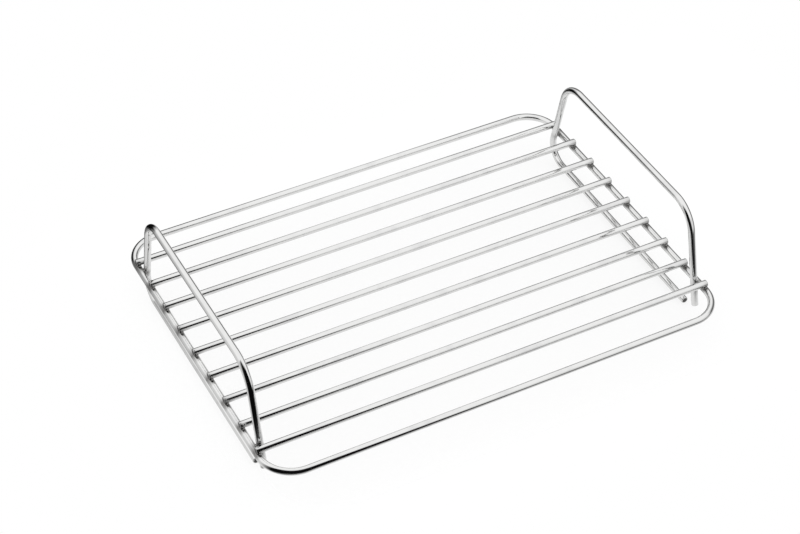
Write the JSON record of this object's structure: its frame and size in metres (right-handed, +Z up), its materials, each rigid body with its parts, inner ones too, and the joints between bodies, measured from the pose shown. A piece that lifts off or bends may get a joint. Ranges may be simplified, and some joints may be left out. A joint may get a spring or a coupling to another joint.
{
  "type": "roasting rack",
  "caption": "Rectangular welded-wire roasting rack: parallel round rods across a closed frame loop, with upright wire handle loops at both ends whose lower runs are the feet.",
  "frame": {"origin": "on the floor under the middle of the rack", "axes": "+X along the rods towards the right handle, +Y to the back, +Z up"},
  "size_m": [0.3424, 0.255, 0.083],
  "materials": {
    "bright_wire": "bright plated, polished"
  },
  "bodies": {
    "root": {"frame_loop": "bright_wire", "rod_1": "bright_wire", "rod_2": "bright_wire", "rod_3": "bright_wire", "rod_4": "bright_wire", "rod_5": "bright_wire", "rod_6": "bright_wire", "rod_7": "bright_wire", "rod_8": "bright_wire", "rod_9": "bright_wire", "left_handle": "bright_wire", "right_handle": "bright_wire"}
  },
  "joints": []
}
